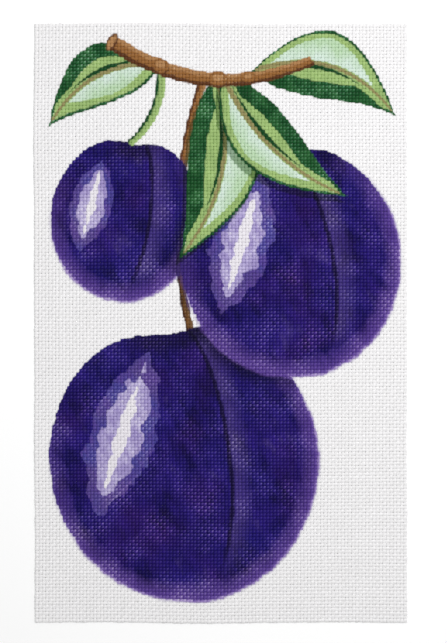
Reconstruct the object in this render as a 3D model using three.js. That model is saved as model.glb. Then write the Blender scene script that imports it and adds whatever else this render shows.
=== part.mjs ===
import * as THREE from "three";

// Painted needlepoint canvas: one sheet of plain-woven cotton, stiff with starch and painted on its
// front. It lies flat on its back, with its front up and the top of its design towards +Y.
// Millimetres, +Z up. The origin is the middle of the back, on the surface that the sheet lies on.

const INCH = 25.4;

const WARP_ENDS = 108; // threads that run along Y
const WARP_ENDS_PER_INCH = 12.9;
const WEFT_PICKS = 175; // threads that run along X
const WEFT_PICKS_PER_INCH = 13;
const THREAD_HEIGHT = 0.6; // every thread is pressed to an oval, lower than it is wide

// The sheet is cut midway between two threads on all four sides.
const SHEET_WIDTH = (WARP_ENDS * INCH) / WARP_ENDS_PER_INCH;
const SHEET_LENGTH = (WEFT_PICKS * INCH) / WEFT_PICKS_PER_INCH;
// A warp thread lies on a weft thread, or under it, at every crossing.
const SHEET_THICKNESS = 2 * THREAD_HEIGHT;

function starchedCotton() {
  return new THREE.MeshStandardMaterial({ color: 0xe9e7e6, roughness: 0.8, metalness: 0 });
}

// Starch and paint bond the threads into one sheet, so it is one slab of the weave's outer size.
function wovenCanvas() {
  const outline = new THREE.Shape();
  outline.moveTo(-SHEET_WIDTH / 2, -SHEET_LENGTH / 2);
  outline.lineTo(SHEET_WIDTH / 2, -SHEET_LENGTH / 2);
  outline.lineTo(SHEET_WIDTH / 2, SHEET_LENGTH / 2);
  outline.lineTo(-SHEET_WIDTH / 2, SHEET_LENGTH / 2);
  outline.closePath();
  const slab = new THREE.ExtrudeGeometry(outline, { depth: SHEET_THICKNESS, bevelEnabled: false });
  const canvas = new THREE.Mesh(slab, starchedCotton());
  canvas.name = "woven_canvas";
  return canvas;
}

const paintedCanvas = new THREE.Group();
paintedCanvas.name = "painted_needlepoint_canvas";
paintedCanvas.add(wovenCanvas());

export default paintedCanvas;
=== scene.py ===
import math
import random
from typing import NamedTuple

import bpy
import numpy as np
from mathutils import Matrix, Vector


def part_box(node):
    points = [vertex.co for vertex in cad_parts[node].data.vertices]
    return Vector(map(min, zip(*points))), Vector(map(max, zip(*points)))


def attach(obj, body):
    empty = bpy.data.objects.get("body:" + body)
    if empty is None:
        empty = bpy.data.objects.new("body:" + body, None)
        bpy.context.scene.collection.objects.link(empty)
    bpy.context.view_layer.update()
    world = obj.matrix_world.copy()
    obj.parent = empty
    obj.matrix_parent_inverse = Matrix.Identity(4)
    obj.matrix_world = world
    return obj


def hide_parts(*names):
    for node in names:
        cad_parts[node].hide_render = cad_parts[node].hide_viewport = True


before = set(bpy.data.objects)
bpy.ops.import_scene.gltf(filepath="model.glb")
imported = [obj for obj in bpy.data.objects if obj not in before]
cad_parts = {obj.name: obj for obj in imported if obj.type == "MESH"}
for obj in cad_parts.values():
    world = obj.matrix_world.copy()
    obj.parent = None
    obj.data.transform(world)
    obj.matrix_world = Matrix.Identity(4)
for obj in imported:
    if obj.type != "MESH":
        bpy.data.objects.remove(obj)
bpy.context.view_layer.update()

# ---------------------------------------------------------------- sizes, in metres

MM = 0.001
LOW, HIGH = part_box("woven_canvas")
WARP_ENDS = 108  # threads along Y
WEFT_PICKS = 175  # threads along X
WARP_PITCH = (HIGH.x - LOW.x) / WARP_ENDS
WEFT_PITCH = (HIGH.y - LOW.y) / WEFT_PICKS
THREAD_HEIGHT = (HIGH.z - LOW.z) / 2
THREAD_WIDTH = 1.87 * MM
MID_HEIGHT = (HIGH.z + LOW.z) / 2
LEVEL = 0.25  # the part of a pitch, on each side of a crossing, over which a thread runs level

# A thread's section is a hexagon, flat above and below.
SIDES = 6
FLAT_SHARE = math.sin(math.radians(60))  # its height over its width
FIRST_CORNER = -120  # where its bottom left corner is, in degrees from its right side
TOP_AROUND = (90 - FIRST_CORNER) / 360  # where its top is, going round from that corner

# How uneven the threads are.
OFF_PLACE = 0.02 * MM  # how far they stray sideways, as a standard deviation
CUT_SHORT = 0.22 * MM  # how far a cut end may fall short of the sheet's edge
CUT_LONG = 0.18 * MM  # and stand past it
FRAYED = 0.2  # how much wider a cut end may spread
DRIFT = 1.6 * MM  # how far the whole weave wanders, from one extreme to the other
SWELLING = 0.12 * MM  # how much threads swell and thin

THREADS_MAP = "thread"
BAKE_MAP = "OFBake"
END_SHARE = 0.01  # the share of a thread's strip of the bake map that each cut end takes
STRIP_MARGIN = 0.04  # the share of its width that is left free on each side

# ---------------------------------------------------------------- modelling helpers


def deselect():
    if bpy.context.object and bpy.context.object.mode != "OBJECT":
        bpy.ops.object.mode_set(mode="OBJECT")
    bpy.ops.object.select_all(action="DESELECT")


def pick(*objects):
    deselect()
    for each in objects:
        each.select_set(True)
    bpy.context.view_layer.objects.active = objects[0]


def apply_modifier(piece, kind, **settings):
    pick(piece)
    modifier = piece.modifiers.new(kind.lower(), kind)
    for name, value in settings.items():
        setattr(modifier, name, value)
    bpy.ops.object.modifier_apply(modifier=modifier.name)


def vertex_places(mesh):
    places = np.empty(len(mesh.vertices) * 3, np.float32)
    mesh.vertices.foreach_get("co", places)
    return places.reshape(-1, 3)


# ---------------------------------------------------------------- one thread


def crest_offset(over):
    """How far a thread's middle is from the sheet's middle where it passes over or under another."""
    return THREAD_HEIGHT / 2 if over else -THREAD_HEIGHT / 2


def thread_middle(along, pitch, crossings, over_first):
    """The height of a thread's centre line: level across each crossing and straight between them."""
    place = along / pitch + (crossings - 1) / 2
    nearest = np.round(place)
    side = np.where(nearest % 2 == 0, 1.0, -1.0) * (1 if over_first else -1)
    fall = np.clip((0.5 - np.abs(place - nearest)) / (0.5 - LEVEL), 0, 1)
    return MID_HEIGHT + crest_offset(True) * side * fall


def lay_out_thread(mesh, pitch, crossings, over_first):
    """Two maps: metres along the thread and the way round it, and its strip of the bake map."""
    length = pitch * crossings
    points = vertex_places(mesh)
    along = points[:, 1] / length + 0.5
    across = points[:, 0] / (THREAD_WIDTH / 2)
    rise = points[:, 2] - thread_middle(points[:, 1], pitch, crossings, over_first)
    angle = np.degrees(np.arctan2(rise / (THREAD_HEIGHT / 2) * FLAT_SHARE, across))
    around = (angle - FIRST_CORNER) % 360 / 360
    around[around > 0.999] = 0  # the first corner itself, but for rounding
    thread_uv, bake_uv = [], []
    for face in mesh.polygons:
        corners = list(face.vertices)
        if len(corners) > 4:  # a cut end
            far_end = along[corners[0]] > 0.5
            for corner in corners:
                shift = END_SHARE * (0.5 + rise[corner] / THREAD_HEIGHT)
                thread_uv.append((along[corner] * length, TOP_AROUND))
                bake_uv.append((1 - shift if far_end else shift, 0.5 + across[corner] / 3))
            continue
        turns = [around[corner] for corner in corners]
        if max(turns) - min(turns) > 0.5:  # the side that closes the round
            turns = [turn if turn > 0.5 else turn + 1 for turn in turns]
        for corner, turn in zip(corners, turns):
            thread_uv.append((along[corner] * length, turn))
            strip_along = END_SHARE + (1 - 2 * END_SHARE) * along[corner]
            bake_uv.append((strip_along, STRIP_MARGIN + (1 - 2 * STRIP_MARGIN) * turn))
    for name, places in ((THREADS_MAP, thread_uv), (BAKE_MAP, bake_uv)):
        layer = mesh.uv_layers.new(name=name)
        layer.uv.foreach_set("vector", np.array(places, np.float32).ravel())


def make_thread(name, pitch, crossings, over_first):
    """One thread along Y that passes over and under the threads that cross it, cut off at both ends."""
    deselect()
    length = pitch * crossings
    # It starts one crossing outside the sheet, and is cut to length afterwards.
    first_over = not over_first
    start = (0, -((crossings + 1) / 2 + LEVEL) * pitch, MID_HEIGHT + crest_offset(first_over))
    bpy.ops.mesh.primitive_circle_add(
        vertices=SIDES, radius=0.5, location=start, rotation=(math.pi / 2, 0, 0)
    )
    thread = bpy.context.object
    thread.name = thread.data.name = name
    bpy.ops.object.transform_apply(location=True, rotation=True, scale=True)
    bpy.ops.object.mode_set(mode="EDIT")
    bpy.ops.mesh.select_all(action="SELECT")
    bpy.ops.transform.rotate(value=math.pi / SIDES, orient_axis="Y", center_override=start)
    bpy.ops.transform.resize(
        value=(THREAD_WIDTH, 1, THREAD_HEIGHT / FLAT_SHARE), center_override=start
    )
    # Two crossings: level, down or up to the other side, level there and back again.
    drop = crest_offset(not first_over) - crest_offset(first_over)
    for rise in (0, drop, 0, -drop):
        bpy.ops.mesh.extrude_region_move(TRANSFORM_OT_translate={"value": (0, pitch / 2, rise)})
    bpy.ops.object.mode_set(mode="OBJECT")
    apply_modifier(
        thread,
        "ARRAY",
        count=crossings // 2 + 2,
        use_relative_offset=False,
        use_constant_offset=True,
        constant_offset_displace=(0, 2 * pitch, 0),
        use_merge_vertices=True,
        merge_threshold=0.02 * MM,
    )
    bpy.ops.object.mode_set(mode="EDIT")
    for side in (-1, 1):
        bpy.ops.mesh.select_all(action="SELECT")
        bpy.ops.mesh.bisect(
            plane_co=(0, side * length / 2, 0),
            plane_no=(0, side, 0),
            clear_outer=True,
            use_fill=True,
        )
    bpy.ops.mesh.select_all(action="SELECT")
    bpy.ops.mesh.normals_make_consistent(inside=False)
    bpy.ops.object.mode_set(mode="OBJECT")
    bpy.ops.object.shade_smooth()
    lay_out_thread(thread.data, pitch, crossings, over_first)
    return thread


# ---------------------------------------------------------------- the woven sheet

chance = random.Random(13)


def shift_map(mesh, name, shift, scale=1.0):
    """Moves a map's second coordinate, which goes round the thread."""
    layer = mesh.uv_layers[name]
    places = np.empty(len(mesh.loops) * 2, np.float32)
    layer.uv.foreach_get("vector", places)
    places[1::2] = (places[1::2] + shift) * scale
    layer.uv.foreach_set("vector", places)


def fray(mesh, length, lengthways, place):
    """Each cut end is a little longer or shorter than the next, and its fibres spread."""
    points = vertex_places(mesh)
    sideways = 1 - lengthways
    for side in (-1, 1):
        end = points[:, lengthways] * side > length / 2 - 0.01 * MM
        points[end, lengthways] += chance.uniform(-CUT_SHORT, CUT_LONG) * side
        points[end, sideways] += (points[end, sideways] - place) * chance.uniform(0, FRAYED)
    mesh.vertices.foreach_set("co", points.ravel())
    mesh.update()


def lay_threads(name, over, under, pitch, length, threads, total, along_x):
    """Copies of two threads, side by side, for the numbered threads of one piece."""
    laid = []
    for index in threads:
        is_over = (index % 2 == 0) != along_x
        pick(over if is_over else under)
        bpy.ops.object.duplicate()
        copy = bpy.context.object
        place = (index - (total - 1) / 2) * pitch + chance.gauss(0, OFF_PLACE)
        bpy.ops.object.mode_set(mode="EDIT")
        bpy.ops.mesh.select_all(action="SELECT")
        bpy.ops.transform.translate(value=(-place if along_x else place, 0, 0))
        if along_x:  # a quarter turn clockwise, so that +Y comes to lie along +X
            bpy.ops.transform.rotate(
                value=math.pi / 2, orient_axis="Z", center_override=(0, 0, 0)
            )
        bpy.ops.object.mode_set(mode="OBJECT")
        fray(copy.data, length, 0 if along_x else 1, place)
        shift_map(copy.data, THREADS_MAP, index)
        shift_map(copy.data, BAKE_MAP, index - threads[0], 1 / len(threads))
        laid.append(copy)
    pick(*laid)
    bpy.ops.object.join()
    piece = bpy.context.object
    piece.name = piece.data.name = name
    return piece


# ---------------------------------------------------------------- shader maths


class Wire:
    """A number, colour or vector on its way through a material. Sums on wires add Math nodes."""

    def __init__(self, cloth, socket):
        self.cloth = cloth
        self.socket = socket

    def maths(self, operation, *others, clamp=False):
        settings = {"operation": operation, "use_clamp": clamp}
        values = dict(enumerate((self, *others)))
        return self.cloth.node("ShaderNodeMath", settings, values)

    def __add__(self, other):
        return self.maths("ADD", other)

    def __radd__(self, other):
        return self.maths("ADD", other)

    def __sub__(self, other):
        return self.maths("SUBTRACT", other)

    def __rsub__(self, other):
        return self.times_plus(-1, other)

    def __mul__(self, other):
        return self.maths("MULTIPLY", other)

    def __rmul__(self, other):
        return self.maths("MULTIPLY", other)

    def __truediv__(self, other):
        return self.maths("DIVIDE", other)

    def __abs__(self):
        return self.maths("ABSOLUTE")

    def times_plus(self, factor, term, clamp=False):
        return self.maths("MULTIPLY_ADD", factor, term, clamp=clamp)

    def least(self, other):
        return self.maths("MINIMUM", other)

    def most(self, other):
        return self.maths("MAXIMUM", other)

    def root(self):
        return self.maths("SQRT")

    def grown(self):
        return self.maths("EXPONENT")

    def sibling(self, output):
        """Another output of the same node."""
        return Wire(self.cloth, self.socket.node.outputs[output])

    def below(self, edge, soft):
        """1 where the number is under the edge and 0 over it, with a ramp of the soft width."""
        return self.times_plus(-1 / soft, 0.5 + edge / soft, clamp=True)

    def above(self, edge, soft):
        return self.times_plus(1 / soft, 0.5 - edge / soft, clamp=True)


class Cloth:
    """A tree of shader nodes, with one method that adds any node."""

    def __init__(self, tree):
        self.tree = tree
        tree.nodes.clear()

    def node(self, kind, settings, values, output=0):
        """A node of this kind. Its settings are set first, and then its inputs, by name or number."""
        node = self.tree.nodes.new(kind)
        for name, value in settings.items():
            setattr(node, name, value)
        for key, value in values.items():
            if isinstance(value, Wire):
                self.tree.links.new(value.socket, node.inputs[key])
            else:
                node.inputs[key].default_value = value
        return Wire(self, node.outputs[output] if node.outputs else None)

    def mix(self, under, over, share, blend="MIX"):
        """One colour over another, by a share from 0 to 1."""
        settings = {"data_type": "RGBA", "blend_type": blend}
        return self.node("ShaderNodeMix", settings, {0: share, 6: under, 7: over}, output=2)

    def stained(self, ground, pigment, film):
        """The ground seen through paint. A thin film is a pale tint of the same hue."""
        tint = self.node("ShaderNodeGamma", {}, {"Color": pigment, "Gamma": film})
        return self.mix(ground, tint, 1.0, blend="MULTIPLY")

    def noise(self, place, size, detail=2.0, roughness=0.5):
        """Smooth noise from about -1 to 1, with lumps of about this size."""
        values = {"Vector": place, "Scale": 1 / size, "Detail": detail, "Roughness": roughness}
        return self.node("ShaderNodeTexNoise", {}, values).times_plus(4, -2)

    def vector(self, x, y, z=0.0):
        return self.node("ShaderNodeCombineXYZ", {}, {0: x, 1: y, 2: z})

    def split(self, vector):
        parts = self.node("ShaderNodeSeparateXYZ", {}, {0: vector})
        return parts, parts.sibling(1)

    def surface(self, finish):
        """The shader that the material shows."""
        shader = self.node("ShaderNodeBsdfPrincipled", {}, finish)
        self.node("ShaderNodeOutputMaterial", {}, {"Surface": shader})


def new_material(name):
    material = bpy.data.materials.new(name)
    material.use_nodes = True
    return material, Cloth(material.node_tree)


def srgb(red, green, blue):
    """The linear colour of three numbers out of 255."""

    def linear(value):
        value /= 255
        return value / 12.92 if value <= 0.04045 else ((value + 0.055) / 1.055) ** 2.4

    return (linear(red), linear(green), linear(blue), 1.0)


# ---------------------------------------------------------------- colours

COTTON = srgb(238, 237, 238)
# darker cotton, for dust and for painted shade in the grooves between plies
COTTON_DUST_AND_SHADE = srgb(226, 225, 225)
# lighter cotton, painted light on the threads' flanks
FLANK_LIGHT_COTTON = srgb(254, 253, 254)
DEEP_PLUM = srgb(13, 2, 82)
PLUM = srgb(41, 22, 126)
INDIGO = srgb(26, 20, 122)
RED_PLUM = srgb(52, 12, 92)
BLOOM = srgb(84, 66, 142)
BLUE_BLOOM = srgb(72, 66, 152)
RIM_VIOLET = srgb(92, 64, 152)
SOFT_LILAC = srgb(164, 150, 206)
PALE_LILAC = srgb(196, 186, 228)
SHINE = srgb(244, 241, 247)
SEAM_PLUM = srgb(14, 4, 50)
SHADOW = srgb(96, 104, 120)
LEAF_SHADOW = srgb(108, 142, 100)
DARK_GREEN = srgb(18, 74, 34)
MOSS_GREEN = srgb(44, 104, 54)
LEAF_GREEN = srgb(158, 190, 118)
FRESH_GREEN = srgb(172, 204, 128)
MINT = srgb(196, 226, 188)
PALE_MINT = srgb(222, 241, 228)
RIB_OLIVE = srgb(156, 149, 98)
BARK = srgb(156, 106, 56)
DARK_BARK = srgb(98, 58, 30)
PALE_BARK = srgb(186, 140, 92)

# ---------------------------------------------------------------- the painted design, in millimetres

SOFT_EDGE = 0.7  # how wide the ramp is at the edge of a painted shape
THICK = 1.6  # an opaque layer, which covers even the places that a dry brush would skip
PLUM_SHADOW_FALLS = Vector((-3.5, -4.5))  # low on the left
PLUM_SHADOW_BLUR = 8
LEAF_SHADOW_FALLS = Vector((-2, -3.5))
LEAF_OUTLINE = 1.7


class Oval(NamedTuple):
    """An oval on the sheet, and how far it leans to the left, in degrees."""

    centre: tuple
    radii: tuple
    lean: float = 0


class Brush:
    """Paints shapes one over another on the flat of the sheet, with x and y in millimetres."""

    def __init__(self, cloth, x, y):
        self.cloth = cloth
        self.x = x
        self.y = y
        self.colour = (1.0, 1.0, 1.0, 1.0)
        self.cover = 0.0
        flat = cloth.vector(x, y)
        self.blotch = cloth.noise(flat, 26, detail=3, roughness=0.6)
        self.dab = cloth.noise(cloth.vector(x + 0.5 * y, y * 0.35 - x * 0.2), 5, detail=2)
        self.waver = cloth.noise(flat, 9, detail=1)
        self.hue = cloth.noise(cloth.vector(x, y, 40.0), 34, detail=2)

    def slope(self, a, b, c):
        """a x + b y + c."""
        return self.x.times_plus(a, self.y.times_plus(b, c))

    def fill(self, mask, colour, film=1.0):
        """Paints where the mask is 1. The film is how thick the paint goes on."""
        self.colour = self.cloth.mix(self.colour, colour, mask)
        self.cover = (mask * film).most(self.cover)

    def shade(self, mask, colour):
        """Darkens the paint that is there, and leaves bare canvas as it is."""
        share = mask * self.cover.least(1)
        self.colour = self.cloth.mix(self.colour, colour, share, blend="MULTIPLY")

    def local(self, oval):
        """Coordinates from -1 to 1 across an oval."""
        centre, radii, lean = oval
        cos, sin = math.cos(math.radians(lean)), math.sin(math.radians(lean))
        along_u = (cos / radii[0], sin / radii[0])
        along_v = (-sin / radii[1], cos / radii[1])
        u = self.slope(*along_u, -(along_u[0] * centre[0] + along_u[1] * centre[1]))
        v = self.slope(*along_v, -(along_v[0] * centre[0] + along_v[1] * centre[1]))
        return u, v

    def bow(self, start, end, bend):
        """A bowed line: how far along it, from 0 to 1, how far to its left, its arch and length."""
        reach = Vector(end) - Vector(start)
        length = reach.length
        along = reach / length
        s = self.slope(
            along.x / length, along.y / length, -(along.x * start[0] + along.y * start[1]) / length
        )
        off = self.slope(-along.y, along.x, along.y * start[0] - along.x * start[1])
        arch = s * (1 - s)
        return s, off - arch * (4 * bend), arch, length

    def cut_ends(self, s, off, bend, length):
        """How far past the nearer end of a bowed line, square to the line itself."""
        lean = s.times_plus(-8 * bend / length, 4 * bend / length)
        square = s + off * lean * (1 / length)
        return (abs(square - 0.5) - 0.5) * length


def plum_skin(brush):
    """Deep purple in blotches: bluer here, redder there, and greyer where a bloom lies on it."""
    cloth = brush.cloth
    mottle = (brush.blotch * 0.55 + brush.dab * 0.35).times_plus(1, 0.35, clamp=True)
    skin = cloth.mix(DEEP_PLUM, PLUM, mottle)
    skin = cloth.mix(skin, INDIGO, brush.hue.above(0.5, 0.9) * 0.5)
    skin = cloth.mix(skin, RED_PLUM, brush.hue.below(-0.5, 0.9) * 0.35)
    skin = cloth.mix(skin, SEAM_PLUM, (brush.blotch + brush.dab * 0.5).below(-0.7, 0.9) * 0.6)
    return cloth.mix(skin, BLOOM, (brush.blotch - brush.dab * 0.4).above(0.85, 0.9) * 0.5)


def with_seam(brush, skin, beside, v):
    """A dark groove from the hollow to the tip, with a swelling along its right side."""
    cloth = brush.cloth
    reach = v.above(-0.72, 0.3)
    swell = beside.above(1, 2) * beside.below(8, 9) * reach
    groove = (abs(beside) + brush.waver * 0.3).below(1.1, 0.9) * reach
    return cloth.mix(cloth.mix(skin, BLOOM, swell * 0.45), SEAM_PLUM, groove * 0.9)


def with_shine(brush, skin, shine):
    """A patch of shine: three blots, one in another."""
    cloth = brush.cloth
    half = shine.radii[0]
    a, b = brush.local(shine)
    blot = (abs(a) + b * b - 1) * half + brush.waver * (0.16 * half) + brush.dab * 0.9
    core = blot + abs(a) * (1.1 * half) + brush.dab * 1.2
    halo = cloth.mix(BLOOM, BLUE_BLOOM, brush.hue.above(0.0, 0.5))
    halo = cloth.mix(halo, RIM_VIOLET, (brush.dab - brush.waver * 0.5).above(0.2, 0.9) * 0.6)
    lilac = cloth.mix(SOFT_LILAC, PALE_LILAC, (brush.dab + brush.waver * 0.6).above(0, 1.0))
    skin = cloth.mix(skin, halo, blot.below(0, SOFT_EDGE))
    skin = cloth.mix(skin, lilac, blot.below(-0.38 * half, SOFT_EDGE))
    return cloth.mix(skin, SHINE, core.below(-0.6 * half, SOFT_EDGE))


def paint_plum(brush, plum, seam, shine):
    """A round stone fruit. Its seam bows to the right by this share of its half width."""
    cloth = brush.cloth
    size = sum(plum.radii) / 2
    # Its shadow lies on whatever is painted behind it.
    u, v = brush.local(plum._replace(centre=Vector(plum.centre) + PLUM_SHADOW_FALLS))
    past = ((u * u + v * v).root() - 1) * size
    brush.shade(past.below(0, PLUM_SHADOW_BLUR) * 0.85, SHADOW)

    u, v = brush.local(plum)
    far = (u * u + v * v).root()
    # The stalk's hollow takes a dent out of the top, and the right cheek bulges past the seam.
    hollow = (v / far).times_plus(16, -16).grown()
    beside = (u - (1 - v * v).most(0).root() * seam) * plum.radii[0]
    edge = (far + hollow * 0.10 - beside.above(0, 12) * 0.02 - 1) * size + brush.waver * 0.5
    # Light comes back from the ground, most of all on the lower right.
    rim_side = (u * 0.3 + abs(u) * 0.5 - v * 0.7).above(0.25, 0.8)
    rim = (edge + brush.dab * 1.6).above(-6.5, 8) * rim_side
    skin = cloth.mix(plum_skin(brush), RIM_VIOLET, rim * 0.85)
    skin = with_seam(brush, skin, beside, v)
    skin = cloth.mix(skin, SEAM_PLUM, hollow.above(0.45, 0.5) * edge.above(-9, 6) * 0.7)
    skin = with_shine(brush, skin, shine)
    # The paint thins out at that rim, and crept a little way past it as a stain.
    ragged = edge + brush.dab * 0.5
    brush.fill(ragged.below(1.3, 1.8) * rim_side, RIM_VIOLET, film=0.45)
    thin = ragged.above(-1.0, 1.8) * rim_side * 0.3
    brush.fill(edge.below(0, SOFT_EDGE), skin, film=1 - thin)


def paint_stalk(brush, start, end, bend, widths, tones):
    """A twig or stalk in three tones: dark below, and a light streak above."""
    cloth = brush.cloth
    middle, dark, light = tones
    s, off, _, length = brush.bow(start, end, bend)
    half = s.times_plus(widths[1] - widths[0], widths[0])
    edge = (abs(off) - half).most(brush.cut_ends(s, off, bend, length)) + brush.waver * 0.35
    colour = cloth.mix(middle, dark, (off + half * 0.45 + brush.dab * 0.5).below(0, 0.8))
    colour = cloth.mix(colour, light, (off - half * 0.4 + brush.dab * 0.6).above(0, 0.8) * 0.8)
    brush.fill(edge.below(0, SOFT_EDGE), colour, film=THICK)


def paint_oval(brush, oval, colour):
    u, v = brush.local(oval)
    edge = ((u * u + v * v).root() - 1) * min(oval.radii) + brush.dab * 0.2
    brush.fill(edge.below(0, SOFT_EDGE), colour, film=THICK)


def paint_knot(brush, knot):
    """A swelling on the twig, lit from above."""
    (x, y), (across, high), lean = knot
    paint_oval(brush, knot, DARK_BARK)
    paint_oval(brush, Oval((x, y + 1.0), (across, high), lean), BARK)
    paint_oval(brush, Oval((x, y + 1.6), (across * 0.6, high * 0.5), lean), PALE_BARK)


def leaf_place(brush, start, end, bend, half_width):
    """How far along a pointed leaf, how far left of its midrib, and how far outside its edge."""
    s, off, arch, _ = brush.bow(start, end, bend)
    # It is widest near its stalk. The lower limit keeps a second leaf from growing past the tip.
    half = arch * s.times_plus(-3.2 * half_width, 5.6 * half_width).most(half_width)
    return s, off, abs(off) - half


def leaf_blade(brush, s, off, inner, half_width, lit_side):
    """Two greens, a pale patch on the lit half, a midrib and a crease, and where it is darkest."""
    cloth = brush.cloth
    lit = off * lit_side
    streak = brush.dab * 0.6 + brush.waver * 0.5
    dark = cloth.mix(DARK_GREEN, MOSS_GREEN, (streak + brush.blotch * 0.4).above(0.3, 1.2))
    shade = lit.below(-half_width * 0.22, 0.6) * inner.above(-half_width * 0.42, 0.6)
    patch = lit.above(1.6, 0.5) * (inner + abs(s - 0.45) * 9).below(-2.4, 0.5)
    pale = (lit * (1 / half_width) + streak * 0.25).below(0.35, 0.5)
    rib = (abs(off) + s * 0.9).below(1.6, 0.6)
    crease = (abs(lit + 2.2) + abs(s - 0.4) * 4).below(1.3, 0.6)
    blade = cloth.mix(LEAF_GREEN, FRESH_GREEN, streak.times_plus(1, 0.5, clamp=True))
    blade = cloth.mix(blade, dark, shade)
    blade = cloth.mix(blade, cloth.mix(MINT, PALE_MINT, pale), patch)
    blade = cloth.mix(blade, RIB_OLIVE, rib)
    return cloth.mix(blade, DARK_GREEN, crease), dark, shade


def paint_leaf(brush, start, end, bend, half_width, lit_side):
    """A pointed leaf with a dark outline. Its lit side is 1 for the left and -1 for the right."""
    shifted = (Vector(start) + LEAF_SHADOW_FALLS, Vector(end) + LEAF_SHADOW_FALLS)
    _, _, past_shadow = leaf_place(brush, *shifted, bend, half_width)
    brush.shade(past_shadow.below(0.3, 0.7) * 0.7, LEAF_SHADOW)
    s, off, past = leaf_place(brush, start, end, bend, half_width)
    edge = past + brush.waver * 0.4
    inner = edge + LEAF_OUTLINE
    blade, dark, shade = leaf_blade(brush, s, off, inner, half_width, lit_side)
    brush.fill(edge.below(0, SOFT_EDGE), dark)
    brush.fill(inner.below(0, SOFT_EDGE), blade, film=THICK - shade * (THICK - 1))


def paint_design(brush):
    """Three plums that hang in leaves from a twig. What lies in front is painted later."""
    bark = (BARK, DARK_BARK, PALE_BARK)
    green = (LEAF_GREEN, DARK_GREEN, FRESH_GREEN)
    paint_stalk(brush, (-8, 142), (-16, -10), bend=-12, widths=(2.6, 2.2), tones=bark)
    for plum, seam, shine in (
        (Oval((-55, 60), (42, 47), -8), 0.34, Oval((-74, 67), (12, 27), -14)),
        (Oval((-22, -78), (76, 80), 6), 0.36, Oval((-56, -64), (19, 50), -18)),
        (Oval((39, 36), (62, 66), 10), 0.40, Oval((12, 46), (17, 42), -16)),
    ):
        paint_plum(brush, plum, seam, shine)
    paint_stalk(brush, (-34, 146), (-52, 102), bend=6, widths=(3.0, 2.2), tones=green)
    paint_stalk(brush, (14, 142), (32, 96), bend=-5, widths=(3.2, 2.4), tones=green)
    paint_leaf(brush, (-34, 147), (-98, 112), bend=-12, half_width=17, lit_side=1)
    paint_leaf(brush, (18, 144), (100, 118), bend=16, half_width=19, lit_side=1)
    paint_leaf(brush, (-2, 142), (-24, 36), bend=14, half_width=20, lit_side=1)
    paint_leaf(brush, (1, 143), (72, 72), bend=-10, half_width=17, lit_side=-1)
    paint_stalk(brush, (-62, 160), (52, 150), bend=-16, widths=(5.0, 3.2), tones=bark)
    paint_oval(brush, Oval((-62, 160), (2.8, 5.4), -29), DARK_BARK)
    paint_oval(brush, Oval((-62.2, 160), (1.8, 4.2), -29), PALE_BARK)
    paint_knot(brush, Oval((-34, 145.5), (4.6, 4.0), -18))
    paint_knot(brush, Oval((-1, 138.5), (5.4, 4.2)))
    paint_knot(brush, Oval((16, 139.5), (4.0, 3.2), 10))


def design_node_group():
    """The whole painting as one node, which the warp and the weft both use."""
    group = bpy.data.node_groups.new("painted_design", "ShaderNodeTree")
    for name, way, kind in (
        ("x", "INPUT", "NodeSocketFloat"),
        ("y", "INPUT", "NodeSocketFloat"),
        ("colour", "OUTPUT", "NodeSocketColor"),
        ("cover", "OUTPUT", "NodeSocketFloat"),
    ):
        group.interface.new_socket(name, in_out=way, socket_type=kind)
    cloth = Cloth(group)
    x = cloth.node("NodeGroupInput", {}, {})
    brush = Brush(cloth, x, x.sibling(1))
    paint_design(brush)
    cloth.node("NodeGroupOutput", {}, {0: brush.colour, 1: brush.cover})
    return group


# ---------------------------------------------------------------- painted cotton

ACROSS_SNAP = 0.4  # paint takes to a whole thread's width, and stops between two threads
ALONG_SNAP = 0.2
WICK = 0.35  # how far it creeps along a thread, in millimetres
ROUND_TO_FLAT = 1.8  # the way round a thread's top, as a part of the pitch on the flat sheet
BARE_SPECKS = 0.017  # the share of a skipped corner where no paint took at all
BARE_WHERE_DRY = 0.036  # how much more under the driest brush
DRY_PATCH = 18  # how wide the patches are where the brush was dry, in millimetres
PLIES = 5
PLIES_A_MM = 1.4  # how many of them pass along one line on a thread in a millimetre


class Strand:
    """Where a spot is on its thread: millimetres along it, turns round it, and its number."""

    def __init__(self, cloth, along_x):
        along, self.turns = cloth.split(
            cloth.node("ShaderNodeUVMap", {"uv_map": THREADS_MAP}, {})
        )
        self.along_x = along_x
        self.along = along / MM
        self.around = self.turns.maths("FRACT")
        self.number = self.turns.maths("FLOOR")
        self.top = abs(self.around - TOP_AROUND)
        fibres = cloth.vector(self.along, self.turns * 3.1)
        self.fibre = cloth.noise(fibres, 0.35, detail=3, roughness=0.7)
        shades = cloth.vector(self.number * 3.7, self.along * 0.05)
        self.tone = cloth.noise(shades, 1.0, detail=1)

    def on_sheet(self, cloth):
        """Where the spot is on the flat sheet and on its crossing. Up and right are positive."""
        creep = cloth.noise(cloth.vector(self.along, self.number * 7.3), 2.2, detail=1) * WICK
        warp = (WARP_PITCH / MM, WARP_ENDS)
        weft = (WEFT_PITCH / MM, WEFT_PICKS)
        own, other = (weft, warp) if self.along_x else (warp, weft)
        pitch, threads = own
        next_pitch, crossings = other
        place = self.along / next_pitch
        crossing = place.maths("FLOOR") + 0.5
        past = place - crossing
        side = (self.around - TOP_AROUND) * (ROUND_TO_FLAT if self.along_x else -ROUND_TO_FLAT)
        side = side.most(-0.5).least(0.5)
        lengthways = crossing + past * (1 - ALONG_SNAP) - crossings / 2
        lengthways = lengthways * next_pitch + creep
        crossways = (self.number + side * (1 - ACROSS_SNAP) - (threads - 1) / 2) * pitch
        x, y = (lengthways, crossways) if self.along_x else (crossways, lengthways)
        return x, y, side, past


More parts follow.
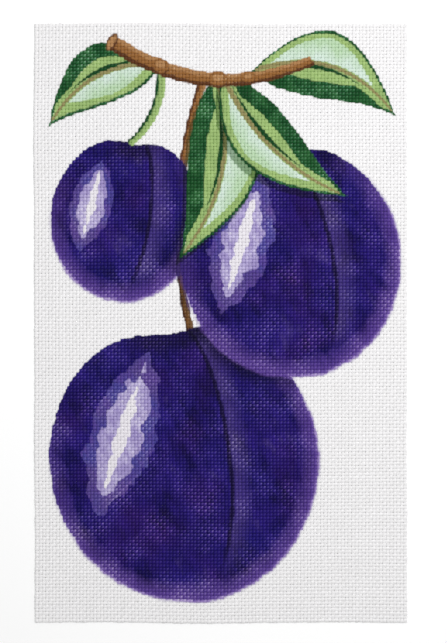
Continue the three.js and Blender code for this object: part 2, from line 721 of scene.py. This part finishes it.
def bare_cotton(cloth, strand):
    """The colour of a twisted thread and the height of its surface."""
    # The plies are twisted together. The cotton darkens at random with dust, and in the grooves between
    # plies with painted shade.
    twist = strand.along * PLIES_A_MM + strand.around * PLIES
    across_ply = twist.maths("FRACT") * 2 - 1
    ply = (1 - across_ply * across_ply).most(0).root()
    lint = cloth.vector(twist * 3.5, strand.along * 0.5 - strand.around * 1.5)
    hairs = cloth.noise(lint, 1.0, detail=2)
    dust_and_groove_shade = strand.tone * 0.35 + strand.fibre * 0.3 + (1 - ply) * 0.5 + hairs * 0.15
    ground = cloth.mix(COTTON, COTTON_DUST_AND_SHADE, dust_and_groove_shade.times_plus(1, 0.3, clamp=True))
    # The flanks are painted lighter than the greyer crests: painted light that fills the shade down
    # between the threads.
    ground = cloth.mix(ground, FLANK_LIGHT_COTTON, strand.top.above(0.14, 0.16))
    return ground, ply * 0.7 + hairs * 0.18 + strand.fibre * 0.12


def brushed_on(cloth, strand, x, y, side, past):
    """How much of the paint a spot took, and what share of it stayed bare."""
    # The brush came from the lower left, and skipped the upper right corner of each crossing.
    # A dry brush skips more there, and most of all on the picks, which lie a little lower.
    dry = cloth.noise(cloth.vector(x, y), DRY_PATCH, detail=3).above(0.2, 1.0)
    corner = (side + past).above(0.12, 0.6) * abs(side - past).below(0.28, 0.34)
    skipped = 1 - corner * (dry * 0.36 + 0.2 if strand.along_x else dry * 0.3 + 0.15)
    crest = 1 - dry * 0.25 if strand.along_x else 1.0
    # Paint covers a thread's upper side, runs down its flanks and hardly reaches below.
    wet = (strand.top + strand.fibre * 0.02).below(0.4, 0.12) * skipped * crest
    seep = strand.top.above(0.4, 0.1) * (strand.fibre + strand.tone).above(0.1, 1.0) * 0.25
    return wet.most(seep), corner * (dry * BARE_WHERE_DRY + BARE_SPECKS)


def painted_cotton(name, design, along_x):
    """Twisted, starched cotton with matt paint on its upper side."""
    material, cloth = new_material(name)
    strand = Strand(cloth, along_x)
    x, y, side, past = strand.on_sheet(cloth)
    ground, height = bare_cotton(cloth, strand)
    took, bare = brushed_on(cloth, strand, x, y, side, past)
    paint = cloth.node("ShaderNodeGroup", {"node_tree": design}, {0: x, 1: y})
    film = (paint.sibling(1) * took).least(1)
    bump = cloth.node(
        "ShaderNodeBump", {}, {"Strength": 0.9, "Distance": 0.12 * MM, "Height": height}
    )
    cloth.surface(
        {
            "Base Color": cloth.mix(cloth.stained(ground, paint, film), ground, bare),
            "Roughness": film * -0.2 + strand.fibre * 0.05 + 0.86,
            "Normal": bump,
            "Specular IOR Level": 0.06,
            "Sheen Weight": 0.03,
            "Sheen Roughness": 0.5,
        }
    )
    return material


# ---------------------------------------------------------------- building the sheet


def unevenness(name, size):
    texture = bpy.data.textures.new(name, "CLOUDS")
    texture.noise_scale = size
    texture.noise_depth = 1
    return texture


UNEVEN = (
    ("X", unevenness("drift_x", 70 * MM), DRIFT),
    ("Y", unevenness("drift_y", 90 * MM), DRIFT),
    ("NORMAL", unevenness("slub", 2.6 * MM), SWELLING),
)


def finish_threads(piece, material):
    """Threads wander a little and swell here and there, and then join the sheet."""
    for direction, texture, strength in UNEVEN:
        apply_modifier(
            piece,
            "DISPLACE",
            texture=texture,
            texture_coords="LOCAL",
            direction=direction,
            mid_level=0.5,
            strength=strength,
        )
    piece.data.materials.clear()
    piece.data.materials.append(material)
    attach(piece, "root")
    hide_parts("woven_canvas")


def shares(total, names):
    """Whole numbers of threads, as even as can be, for the named pieces in turn."""
    edges = [round(total * k / len(names)) for k in range(len(names) + 1)]
    return [(name, range(a, b)) for name, a, b in zip(names, edges, edges[1:])]


def weave(design, along_x):
    """All the threads that run one way, in three pieces."""
    warp = (WARP_PITCH, WARP_ENDS)
    weft = (WEFT_PITCH, WEFT_PICKS)
    own, other = (weft, warp) if along_x else (warp, weft)
    pitch, total = own
    next_pitch, crossings = other
    length = next_pitch * crossings
    over = make_thread("thread_over", next_pitch, crossings, True)
    under = make_thread("thread_under", next_pitch, crossings, False)
    material = painted_cotton("painted_weft" if along_x else "painted_warp", design, along_x)
    names = (
        ("weft_lower", "weft_middle", "weft_upper")
        if along_x
        else ("warp_left", "warp_middle", "warp_right")
    )
    for name, threads in shares(total, names):
        piece = lay_threads(name, over, under, pitch, length, threads, total, along_x)
        finish_threads(piece, material)
    for pattern in (over, under):
        bpy.data.objects.remove(pattern)


painting = design_node_group()
weave(painting, along_x=False)
weave(painting, along_x=True)

# ---------------------------------------------------------------- floor, light and camera

FLOOR_SIZE = 20
FLOOR_GAP = 0.05 * MM  # swollen threads reach about this far below the sheet's back
ROOM_LIGHT = 0.66  # the same from all round
IMAGE = (447, 643)  # pixels
PANEL_MIDDLE = (220.75, 323.0)  # where the sheet's middle is in the image
PANEL_WIDTH = 372.5  # pixels
LENS, SENSOR = 85.0, 36.0


def make_floor():
    deselect()
    bpy.ops.mesh.primitive_plane_add(size=FLOOR_SIZE, location=(0, 0, LOW.z - FLOOR_GAP))
    floor = bpy.context.object
    floor.name = "floor"
    material, ground = new_material("pale_floor")
    ground.surface({"Base Color": (0.97, 0.97, 0.97, 1), "Roughness": 0.9})
    floor.data.materials.append(material)


def make_lamp(name, place, size, power):
    """A square lamp that faces the middle of the sheet."""
    light = bpy.data.lights.new(name, "AREA")
    light.size = size
    light.energy = power
    lamp = bpy.data.objects.new(name, light)
    bpy.context.scene.collection.objects.link(lamp)
    lamp.location = place
    lamp.rotation_euler = (-Vector(place)).to_track_quat("-Z", "Y").to_euler()


def make_camera():
    """Straight down on the sheet, with the sheet a little off the image's middle."""
    scale = (HIGH.x - LOW.x) / PANEL_WIDTH
    tall = IMAGE[1] * scale
    data = bpy.data.cameras.new("camera")
    data.lens = LENS
    data.sensor_width = SENSOR
    camera = bpy.data.objects.new("camera", data)
    bpy.context.scene.collection.objects.link(camera)
    camera.location = (
        (IMAGE[0] / 2 - PANEL_MIDDLE[0]) * scale,
        (PANEL_MIDDLE[1] - IMAGE[1] / 2) * scale,
        HIGH.z + tall * LENS / SENSOR,
    )
    bpy.context.scene.camera = camera


def make_world():
    world = bpy.data.worlds.new("soft_room")
    world.use_nodes = True
    background = world.node_tree.nodes["Background"]
    background.inputs["Color"].default_value = (1.0, 1.0, 1.0, 1.0)
    background.inputs["Strength"].default_value = ROOM_LIGHT
    bpy.context.scene.world = world


make_floor()
make_lamp("window_light", place=(0.22, 0.24, 0.65), size=0.4, power=3.05)
make_camera()
make_world()
bpy.context.scene.view_settings.view_transform = "Standard"
